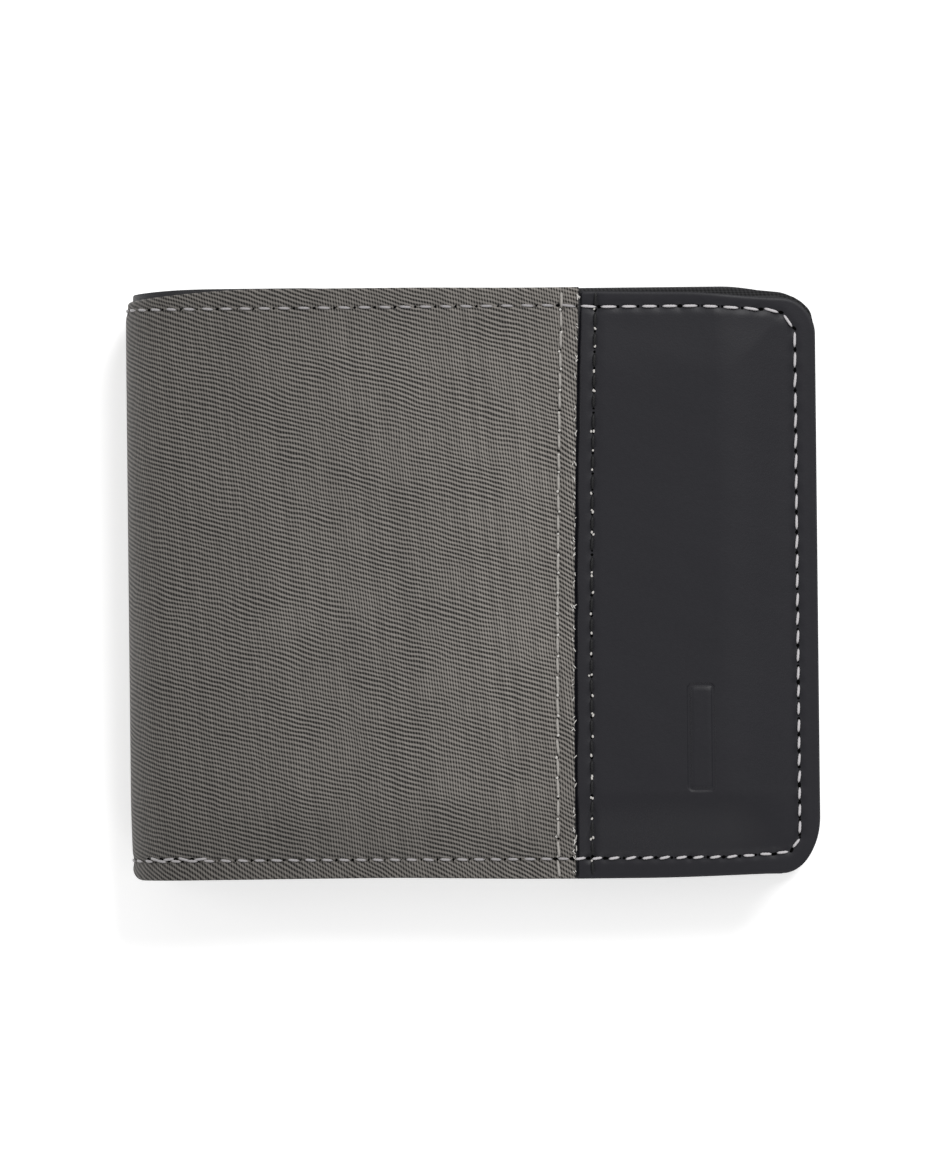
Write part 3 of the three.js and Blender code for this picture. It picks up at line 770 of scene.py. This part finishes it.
# ---- Pieces of a half ----
class Half:
    """One half of the wallet: names, bodies and the fold that its cloth crosses."""

    def __init__(self, name):
        self.name = name
        self.side, self.end = HALVES[name]
        self.body = f"{name}_half"
        self.paths = cover_paths(self.side, self.end)

    def ride(self, piece, slot, *nodes):
        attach(piece, self.body)
        self.stand_for(piece, slot, *nodes)

    def fold(self, piece, slot, *nodes, depth=0.0):
        """The piece runs on round the fold to the spine's middle.

        depth is that of its layer in the skin, or None for a piece that follows the wall.
        """
        if depth is None:
            start, end = (from_hinge(self.side, x, 0, up) for x, up in wall_blend())
        else:
            start, end = shell(self.side * np.array([ARC_END, BACK_FLAT / 2]), 0.0, depth)
        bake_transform(piece)
        self.stand_for(piece, slot, *nodes)

    def stand_for(self, piece, slot, *nodes):
        if nodes:
            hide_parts(*(n if n.startswith("spine") else f"{self.name}_{n}" for n in nodes))

    def spine(self, *nodes):
        """The spine's nodes, which the front half's pieces stand for."""
        return [f"spine_{node}" for node in nodes] if self.side > 0 else []


def fabric_top(s):
    """The fabric's mouth edge, lowest at the spine."""
    dip = 1 - smooth(np.abs(s) / (ARC_END + 13))
    return HALF_HEIGHT - 0.15 - 1.75 * dip - 0.2 * smooth((np.abs(s) - 50) / 22)


def fabric_low(s):
    return -HALF_HEIGHT + 0.45 - 0.4 * smooth((np.abs(s) - 45) / 30) + spine_lift(s)


def spine_lift(s):
    """The fold's bottom edge curves up round the back of the spine."""
    left = np.clip(CORNER_SPINE - FOLD_RADIUS * (1 - np.cos(fold_angle(s))), 0, CORNER_SPINE)
    return CORNER_SPINE - np.sqrt(CORNER_SPINE ** 2 - left ** 2)


def stuffed(half, s, y):
    """The cover is fuller inside its edge stitching than along it."""
    inward = np.minimum(EDGE_THREAD_Y - np.abs(y), ARC_END + half.end - EDGE_THREAD_INSET - s)
    return 0.4 * (1 - smooth(inward / 11)) * smooth(s / ARC_END)


def fabric_skin(half, s, y):
    side = half.side
    base = pinch(side * s, y) + 0.05
    uneven = 0.09 * waves(s, y, 26, 3 + side) + 0.05 * waves(s, y, 9, 8 + side)
    base = base + uneven * smooth(s / ARC_END) + stuffed(half, s, y)
    base = base - 0.14 * np.exp(-((s - ARC_END - FABRIC_EDGE - bow(y) + 1.3) / 0.9) ** 2)
    base = base + 0.5 * np.exp(-(fabric_top(s) - y) / 1.1) * (1 - smooth(s / ARC_END))
    return base + sewn_in(side * s, y, [half.paths["edge"], half.paths["seam"]], 0.16, 0.24)


def margin(distance, width=7.0):
    """1 over the turned-in margin along an edge, 0 inside it."""
    return 1 - smooth(distance - width)


def add_fabric(half, material):
    edge = FABRIC_END
    s_marks = marks((0, edge, CLOTH_STEP), CAP_MARKS, (edge - 4.5, edge, 0.22),
                    (edge - 0.7, edge, 0.09))
    y_marks = marks((-HALF_HEIGHT, HALF_HEIGHT, CLOTH_STEP), *EDGE_THREAD_MARKS,
                    (-HALF_HEIGHT, 1.2 - HALF_HEIGHT, 0.12), (HALF_HEIGHT - 1.2, HALF_HEIGHT, 0.12))
    s, y = grid(s_marks, y_marks, high=fabric_top, low=fabric_low)
    s = s + bow(y) * smooth((s - (edge - 20)) / 20)
    far = edge + bow(y) - s
    near = np.minimum(y - y[:, :1], y[:, -1:] - y)
    outer = fabric_skin(half, s, y)
    inner = outer * 0.35 + pinch(half.side * s, y) * 0.65
    inner = inner + 0.5 + 0.4 * np.maximum(margin(near), margin(far, 2.5))
    piece = layer(half, "twill", s, y, (outer, inner), (np.minimum(near, far), FABRIC_RIM), material,
                  open_start=True)
    half.fold(piece, "twill_fabric", "cover_fabric", "cover_board", *half.spine("fabric"))


def leather_skin(half, s, y):
    side = half.side
    past = s - ARC_END - FABRIC_EDGE - bow(y)
    tucked = 0.78 * (1 - smooth((past - 0.05) / (0.62 + 0.12 * waves(s, y, 7, 19))))
    base = LEATHER_DEPTH + tucked + pinch(side * s, y) + 0.04
    base = base + 0.07 * waves(s, y, 30, 5 + side) + 0.02 * waves(s, y, 8, 2 + side)
    base = base + stuffed(half, s, y)
    base = base + sewn_in(side * s, y, [half.paths["edge"], half.paths["leather"]], 0.13, 0.2)
    if side > 0:
        base = base + 0.16 * pressed_mark(s, y)
    return base


def pressed_mark(s, y):
    """A plain blank lozenge pressed into the leather: a rounded frame, 1 in the groove."""
    beside = np.abs(s - ARC_END - MARK_CENTRE[0])
    up = np.abs(y - MARK_CENTRE[1])
    radius = 0.9
    corner_gap = np.hypot(np.maximum(beside - MARK_HALF[0] + radius, 0),
                          np.maximum(up - MARK_HALF[1] + radius, 0)) - radius
    straight_gap = np.maximum(beside - MARK_HALF[0], up - MARK_HALF[1])
    straight = (beside < MARK_HALF[0] - radius) | (up < MARK_HALF[1] - radius)
    gap = np.where(straight, straight_gap, corner_gap)
    return 1 - smooth((np.abs(gap + 0.25) - 0.16) / 0.22)


def mark_stretches(centre, half_size):
    """Fine stretches of grid marks over the pressed mark's two grooves."""
    return [(centre + k * half_size - 0.65, centre + k * half_size + 0.65, 0.1) for k in (-1, 1)]


def corner_stretches(start, radius, count):
    """Single marks that divide a round corner evenly."""
    return [(start + radius * math.sin(a),) * 2 + (1,) for a in np.linspace(0, math.pi / 2, count)]


def bites(edge, top, bottom, narrow=1.0):
    """How much the round corners take off the height at s."""
    def bite(s, radius, width):
        into = np.clip(s - (edge - width), 0, width) / width
        return radius * (1 - np.sqrt(1 - into * into))
    return (lambda s: bite(s, bottom, bottom * narrow)), (lambda s: bite(s, top, top))


def add_leather(half, material):
    edge = ARC_END + half.end
    start = FABRIC_END - LEATHER_TUCK
    top, bottom = LEATHER_TOP, LEATHER_BOTTOM
    corner = corner_stretches(edge - CORNER_BOTTOM, CORNER_BOTTOM, 26)
    s_extra = mark_stretches(ARC_END + MARK_CENTRE[0], MARK_HALF[0]) if half.side > 0 else []
    y_extra = mark_stretches(MARK_CENTRE[1], MARK_HALF[1]) if half.side > 0 else []
    s_marks = marks((start, edge, CLOTH_STEP), (edge - 4.4, edge - 1.6, 0.24), (edge - 0.9, edge, 0.1),
                    (start + 2.8, start + 7.2, 0.24), *corner, *s_extra)
    y_marks = marks((bottom, top, CLOTH_STEP), (bottom, bottom + 1.2, 0.1), (top - 1.2, top, 0.1),
                    *EDGE_THREAD_MARKS, *y_extra)
    bite_low, bite_high = bites(edge, CORNER_TOP, CORNER_BOTTOM, CORNER_NARROWING)
    rise = lambda s: 0.65 * smooth((s - edge + 28) / 30)
    drop = lambda s: 0.35 * smooth((s - start) / 28) + smooth((s - edge + 21) / 16)
    s, y = grid(s_marks, y_marks, low=lambda s: bottom + bite_low(s) + rise(s),
                high=lambda s: top - bite_high(s) - drop(s))
    straightened = y - np.where(y > 0, -drop(s), rise(s))
    distance = inside_outline(s, straightened, (-FAR_AWAY, edge, bottom, top),
                              (CORNER_BOTTOM, CORNER_TOP), CORNER_NARROWING)
    outer = leather_skin(half, s, y)
    turned = margin(distance) * smooth((s - start - 3.5) / 1.0)
    inner = LEATHER_DEPTH + pinch(half.side * s, y) + 0.5 + 0.42 * turned
    inner = np.maximum(inner, outer + 0.12)
    piece = layer(half, "leather", s, y, (outer, inner), (distance, LEATHER_RIM), material)
    half.ride(piece, "black_leather", "cover_leather")


def add_panel(half, name, slot, nodes, box, outer, inner, material, rim, radii, step=1.6,
              folds=False, low=None, high=None, places=(shell, shell), blend_depth=None, meet=0.5):
    """A plain layer inside: box is (s from, s to, y from, y to) and its far corners are round.

    outer and inner give the depths of its faces, and low and high its edges where they aren't
    straight. A layer that folds runs on to the spine's middle; blend_depth is as in Half.fold.
    """
    s_from, s_to, y_from, y_to = box
    corner = corner_stretches(s_to - radii[0], radii[0], 12)
    near = [CAP_MARKS] if folds else [(s_from, s_from + 2 * rim, rim / 3)]
    s_marks = marks((s_from, s_to, step), *near, (s_to - 2 * rim, s_to, rim / 3), *corner)
    y_marks = marks((y_from, y_to, step), (y_from, y_from + 2 * rim, rim / 3),
                    (y_to - 2 * rim, y_to, rim / 3))
    bite_low, bite_high = bites(s_to, radii[1], radii[0])
    top = high or (lambda s: y_to)
    foot = low or (lambda s: y_from)
    s, y = grid(s_marks, y_marks, lambda s: foot(s) + bite_low(s), lambda s: top(s) - bite_high(s))
    near_edge = s_from - FAR_AWAY if folds else s_from
    straightened = y - np.where(y > (y_from + y_to) / 2, top(s) - y_to, foot(s) - y_from)
    distance = inside_outline(s, straightened, (near_edge, s_to, y_from, y_to), radii)
    piece = layer(half, name, s, y, (outer(s, y), inner(s, y)), (distance, rim, meet), material,
                  folds, places)
    if folds:
        half.fold(piece, slot, *nodes, depth=blend_depth)
    else:
        half.ride(piece, slot, *nodes)
    return piece


def inner_low(s):
    """The inner layers stop a little short of the fabric's bottom edge."""
    return fabric_low(s) + 0.4


def add_lining(half, material):
    inset = 1.1
    wrinkle = lambda s, y: 0.05 * waves(s, y, 14, 11 + half.side) * smooth(s / ARC_END)
    face = lambda s, y: LINING_DEPTH + pinch(half.side * s, y) + wrinkle(s, y)
    by_spine = lambda s: HALF_HEIGHT - 0.05 - 0.75 * (1 - smooth(s / 20))
    past_spine = lambda s: fabric_top(s) - 0.8 - 0.9 * smooth((s - 70) / 20)
    high = lambda s: by_spine(s) + (past_spine(s) - by_spine(s)) * smooth((s - 34) / 20)
    end = ARC_END + half.end - inset
    piece = add_panel(
        half, "lining_cloth", "lining_fabric", ["cover_lining", *half.spine("lining")],
        (0, end, -46.5, 46.0), face, lambda s, y: face(s, y) + LINING_THICKNESS, material,
        rim=0.12, radii=(CORNER_BOTTOM, CORNER_TOP), folds=True, low=inner_low, high=high,
        blend_depth=LINING_DEPTH)


def add_hems(half, lining, leather):
    skin = lambda s, y: LINING_DEPTH + LINING_THICKNESS + 0.02 + pinch(half.side * s, y)
    wall = lambda s, y: wall_depth(s) + 0.12  # sewn into it
    end = ARC_END + half.end
    by_corner = lambda s: inner_low(s) + 0.5 * smooth((s - end + 8) / 8)
    add_panel(
        half, "bottom_hem_roll", "lining_fabric", ["bottom_hem", *half.spine("bottom_hem")],
        (0, end - 5.8, -46.75, -42.4), skin, wall, lining,
        rim=0.5, radii=(0.5, 0.5), step=1.0, folds=True, low=inner_low,
        places=(shell, wall_shell), meet=0.15)
    add_panel(
        half, "side_hem_roll", "black_leather", ["side_hem"],
        (end - 5.7, end - 0.55, -46.75, 42.3), skin, wall, leather,
        rim=0.5, radii=(CORNER_BOTTOM - 0.4, 0.8), step=1.2, low=by_corner)


def add_wall(half, lining, tape):
    inset = 0.5
    end = ARC_END + half.end - inset
    sag = lambda s, y: 0.08 * waves(s, y, 22, 21 + half.side) * smooth(s / ARC_END)
    face = lambda s, y: wall_depth(s) + sag(s, y)
    top = lambda s: wall_top(half, s)
    piece = add_panel(
        half, "wall_cloth", "lining_fabric", ["bill_wall", *half.spine("bill_wall")],
        (0, end, -46.7, 46.8), face, lambda s, y: face(s, y) + WALL_THICKNESS, lining,
        rim=0.17, radii=(CORNER_BOTTOM, CORNER_TOP), folds=True, low=inner_low,
        high=lambda s: top(s) - 0.25, places=(wall_shell, wall_shell))
    over = 0.22
    add_panel(
        half, "wall_binding", "binding_tape", ["bill_wall_tape", *half.spine("bill_wall_tape")],
        (0, end + 0.1, 43.9, 47.1), lambda s, y: face(s, y) - over,
        lambda s, y: face(s, y) + WALL_THICKNESS + over + 0.1, tape,
        rim=0.4, radii=(0.3, CORNER_TOP - 1.0), step=0.9, folds=True, low=lambda s: top(s) - 3.2,
        high=top, places=(wall_shell, wall_shell))


def wall_top(half, s):
    """The bill compartment's mouth, which falls away towards the free corner."""
    return 47.12 - 0.9 * (1 - smooth(s / 12)) - 0.95 * smooth((s - ARC_END - half.end + 15) / 14)


def add_cards(half, leather):
    start, end = ARC_END + CARD_STACK_FROM, ARC_END + half.end - 0.8
    bulge = lambda s: np.sin(math.pi * np.clip((s - start) / (end - start), 0, 1))

    def uneven(s, y, n):
        by_stitches = smooth((s - start - 2.2) / 8)  # which hold the panel flat
        return 0.05 * waves(s, y, 18, 31 + 3 * n + half.side) * by_stitches

    add_panel(
        half, "backing", "black_leather", ["card_backing"], (start, end, CARDS_BOTTOM, 43.0),
        lambda s, y: CARD_BACKING[0] + 0 * s, lambda s, y: CARD_BACKING[1] - 0.03 + uneven(s, y, 0),
        leather, rim=0.2, radii=(CORNER_BOTTOM, 0.8))
    for n, (mouth, bottom) in enumerate(POCKETS):
        level = CARD_BACKING[0] + 0.35 + (n + 1) * 0.8 + n * POCKET_THICKNESS

        def face(s, y):
            slack = 0.32 * bulge(s) ** 2 * np.exp(-((mouth - y) / 9) ** 2)
            return level - slack + 0.5 * uneven(s, y, n + 1)

        def inner(s, y):
            crease = 0.16 * np.exp(-((y - (mouth - 1.9)) / 0.26) ** 2)
            side_crease = 0.12 * np.exp(-((s - start - 3.1) / 0.3) ** 2)
            return face(s, y) + POCKET_THICKNESS - crease - side_crease

        low_radius = CORNER_BOTTOM if n == len(POCKETS) - 1 else 0.5
        add_panel(
            half, f"pocket_{n + 1}", "black_leather",
            [f"card_pocket_{n + 1}", f"card_pocket_hem_{n + 1}"],
            (start, end, bottom, mouth), face, inner, leather,
            rim=0.17, radii=(low_radius, 0.5), high=lambda s: mouth - 0.5 * bulge(s))


def add_stitching(half):
    skin = lambda s, y: np.where(
        np.abs(s) < FABRIC_END + bow(y),
        fabric_skin(half, np.abs(s), y), leather_skin(half, np.abs(s), y))
    add_edge_stitches(half, skin)
    row = resample(*half.paths["seam"])
    piece = stitches(half, "seam_stitches", row, skin, (SEAM_GREY, HOLE_SHADE), row[2] * 0.84, SEAM_THREAD,
                     tilt=2.5)
    half.ride(piece, "grey_thread", "seam_thread")
    row = resample(*half.paths["leather"])
    piece = stitches(half, "leather_stitches", row, skin, (BLACK, HOLE_SHADE), row[2] * 0.7, LEATHER_THREAD,
                     hole_size=(0.7, 0.36))
    half.ride(piece, "black_thread", "leather_thread")
    add_knots(half, skin)
    add_fibres(half, skin)
    s = half.side * (ARC_END + CARD_STACK_FROM + POCKET_SEAM_FROM)
    row = resample(np.array([[s, 42.0], [s, -45.0]]), EVEN_PITCH)
    face = lambda s, y: CARD_BACKING[1] - 0.04 + sum((y < mouth) * CARD_STEP for mouth, _ in POCKETS)
    piece = stitches(half, "pocket_stitches", row, face, (BLACK, HOLE_SHADE), row[2] * 0.77, EDGE_THREAD,
                     lift=-0.17, facing=-1)
    half.ride(piece, "black_thread", "pocket_thread")


def add_edge_stitches(half, skin):
    """The stitching all round a cover, sewn over twice at the start of the bottom row."""
    side = half.side
    centres, directions, pitches = resample(*half.paths["edge"])
    out = np.abs(centres[:, 0])
    is_bottom = centres[:, 1] < -40
    on_leather = smooth((out - ARC_END - FABRIC_EDGE + 4) / 4)
    lengths = np.where(is_bottom, 0.66, 0.62 + 0.13 * on_leather) * pitches
    lifts = np.where(is_bottom, 0.05, 0.13) * smooth((out - 9) / 16) - 0.02
    twice = (out > 10.5) & (out < 21) & is_bottom
    again = centres[twice] + directions[twice] * pitches[twice, None] / 2 + [0, 0.3]
    centres = np.concatenate([centres, again])
    lengths = np.concatenate([lengths, lengths[twice] * 1.25])
    lifts = np.concatenate([lifts, lifts[twice] + 0.14])
    directions, pitches, is_bottom = (
        np.concatenate([values, values[twice]]) for values in (directions, pitches, is_bottom))
    past_seam = np.abs(centres[:, 0]) - ARC_END - FABRIC_EDGE
    by_seam = (past_seam > 0) & (past_seam < 26)
    tilt = -4.5 * side + side * np.where(by_seam, np.where(is_bottom, 13, 4), 0)
    tilt[-twice.sum():] += 9 * (-1.0) ** np.arange(twice.sum())
    for name, part, thread, hole_size in (("edge", past_seam < 0, GREY, (0.5, 0.34)),
                                          ("leather_edge", past_seam >= 0, LIGHT_GREY, (0.62, 0.38))):
        row = centres[part], directions[part], pitches[part]
        piece = stitches(half, f"{name}_stitches", row, skin, (thread, HOLE_SHADE), lengths[part],
                         EDGE_THREAD, tilt=tilt[part], lift=lifts[part], hole_size=hole_size)
        if name == "edge":
            half.fold(piece, "grey_thread", "edge_thread", *half.spine("thread_top", "thread_bottom"))
        else:
            half.ride(piece, "grey_thread")


def add_knots(half, skin):
    """The light under thread, pulled up through the holes of the two seams down the cover."""
    random = np.random.default_rng(71 + half.side)
    for seam, thick, share in (("seam", 0.42, 1.0), ("leather", 0.34, 1.45)):
        holes, ahead, _ = resample(*half.paths[seam], 0.5)
        count = int(len(holes) * share)
        chosen = np.arange(count)
        if share > 1:  # some holes have two
            chosen = np.sort(random.permutation(np.arange(2 * len(holes)) // 2)[:count])
        centres = holes[chosen] + random.normal(0, 0.14, (count, 2)) * [1, 1.6]
        directions = ahead[chosen] + random.normal(0, 0.35, (count, 2))
        directions /= np.linalg.norm(directions, axis=1)[:, None]
        lengths = random.uniform(0.34, 0.62, count)
        row = centres, directions, None
        half.ride(stitches(half, f"{seam}_knots", row, skin, (PALE,), lengths, thick), "grey_thread")


def add_fibres(half, skin):
    """Loose ends of yarn along the fabric's turned edge."""
    random = np.random.default_rng(91 + half.side)
    count = 80
    y = random.uniform(-46.5, 46.0, count)
    s = half.side * (FABRIC_END + bow(y) + random.normal(-0.12, 0.13, count))
    turn = random.uniform(-0.9, 0.9, count) - math.pi / 2
    directions = np.stack([half.side * np.cos(turn), np.sin(turn)], 1)
    lengths = random.uniform(0.35, 0.95, count)
    row = np.stack([s, y], 1), directions, None
    beside = lambda s, y: skin(s - half.side * 0.8, y) + 0.1
    piece = stitches(half, "edge_fibres", row, beside, (PALE,), lengths, 0.15, lift=0.05, plies=1)
    half.ride(piece, "twill_fabric")


add_camera()
add_studio()
TWILL = twill_material()
LEATHER = leather_material("leather")
INNER_LEATHER = leather_material("inner_leather", 1.15, 2.2)
LINING = lining_material()
TAPE = tape_material()
GREY = thread_material("grey_thread", (0.36, 0.345, 0.35))
LIGHT_GREY = thread_material("light_grey_thread", (0.58, 0.56, 0.575))
SEAM_GREY = thread_material("seam_thread", (0.38, 0.36, 0.335))
PALE = thread_material("pale_thread", (0.62, 0.60, 0.57))
BLACK = thread_material("black_thread", (0.006, 0.006, 0.007), sheen=0.05)
# painted shade for the needle holes
HOLE_SHADE = hole_shade_material()
for half in (Half("rear"), Half("front")):
    add_fabric(half, TWILL)
    add_leather(half, LEATHER)
    add_lining(half, LINING)
    add_hems(half, LINING, INNER_LEATHER)
    add_wall(half, LINING, TAPE)
    add_cards(half, INNER_LEATHER)
    add_stitching(half)
